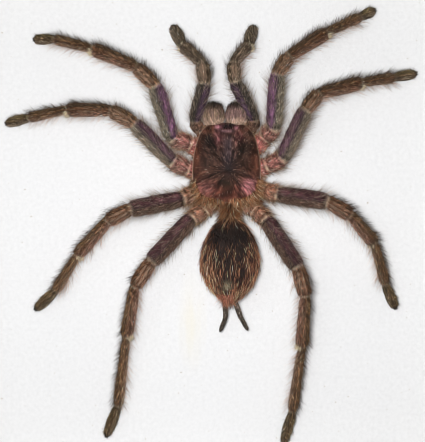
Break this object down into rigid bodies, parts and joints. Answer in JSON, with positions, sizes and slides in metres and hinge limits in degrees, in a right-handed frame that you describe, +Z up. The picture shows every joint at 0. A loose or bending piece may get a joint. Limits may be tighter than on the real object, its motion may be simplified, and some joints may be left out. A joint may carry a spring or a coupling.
{
  "type": "framed tarantula specimen",
  "caption": "Spread dried tarantula on a white board in a shallow glazed box frame that stands upright or hangs on a wall.",
  "frame": {"origin": "centre of the box frame's footprint, under the middle of the bottom rail", "axes": "+Z up the frame towards the spider's head end, -Y out through the glass, +Y towards the wall, +X to the viewer's right"},
  "size_m": [0.194, 0.04, 0.2],
  "materials": {
    "frame_wood": "black-stained wood with a satin wax finish",
    "spacer_card": "matt white card",
    "point_steel": "dull stamped steel",
    "glass": "clear float glass with faint green edges",
    "mount_board": "matt white board, faintly stained and specked",
    "back_board": "plain brown hardboard",
    "hanger_brass": "dull brass plate",
    "carapace": "dark maroon-brown cuticle, semi-gloss, with radial streaks and pale rims",
    "abdomen_setae": "black skin under long orange-brown and cream hairs",
    "chelicera": "taupe-brown cuticle under short dark hairs",
    "fang": "polished black horn-like fang",
    "leg": "brown hairy cuticle, purple on the thighs, pale rings at the joints",
    "spinneret": "dark grey-brown, finely hairy"
  },
  "bodies": {
    "root": {"rail_right": "frame_wood", "rail_top": "frame_wood", "rail_left": "frame_wood", "rail_bottom": "frame_wood", "spacer_right": "spacer_card", "spacer_top": "spacer_card", "spacer_left": "spacer_card", "spacer_bottom": "spacer_card", "glazing_point_right_1": "point_steel", "glazing_point_right_2": "point_steel", "glazing_point_top_1": "point_steel", "glazing_point_top_2": "point_steel", "glazing_point_left_1": "point_steel", "glazing_point_left_2": "point_steel", "glazing_point_bottom_1": "point_steel", "glazing_point_bottom_2": "point_steel", "glass_pane": "glass", "mount_board": "mount_board", "back_board": "back_board", "sawtooth_hanger": "hanger_brass", "hanger_nail_left": "hanger_brass", "hanger_nail_right": "hanger_brass", "cephalothorax": "carapace", "abdomen": "abdomen_setae", "chelicera_left": "chelicera", "chelicera_right": "chelicera", "fang_left": "fang", "fang_right": "fang", "pedipalp_left": "leg", "pedipalp_right": "leg", "leg_1_left": "leg", "leg_1_right": "leg", "leg_2_left": "leg", "leg_2_right": "leg", "leg_3_left": "leg", "leg_3_right": "leg", "leg_4_left": "leg", "leg_4_right": "leg", "spinneret_left": "spinneret", "spinneret_right": "spinneret"}
  },
  "joints": []
}
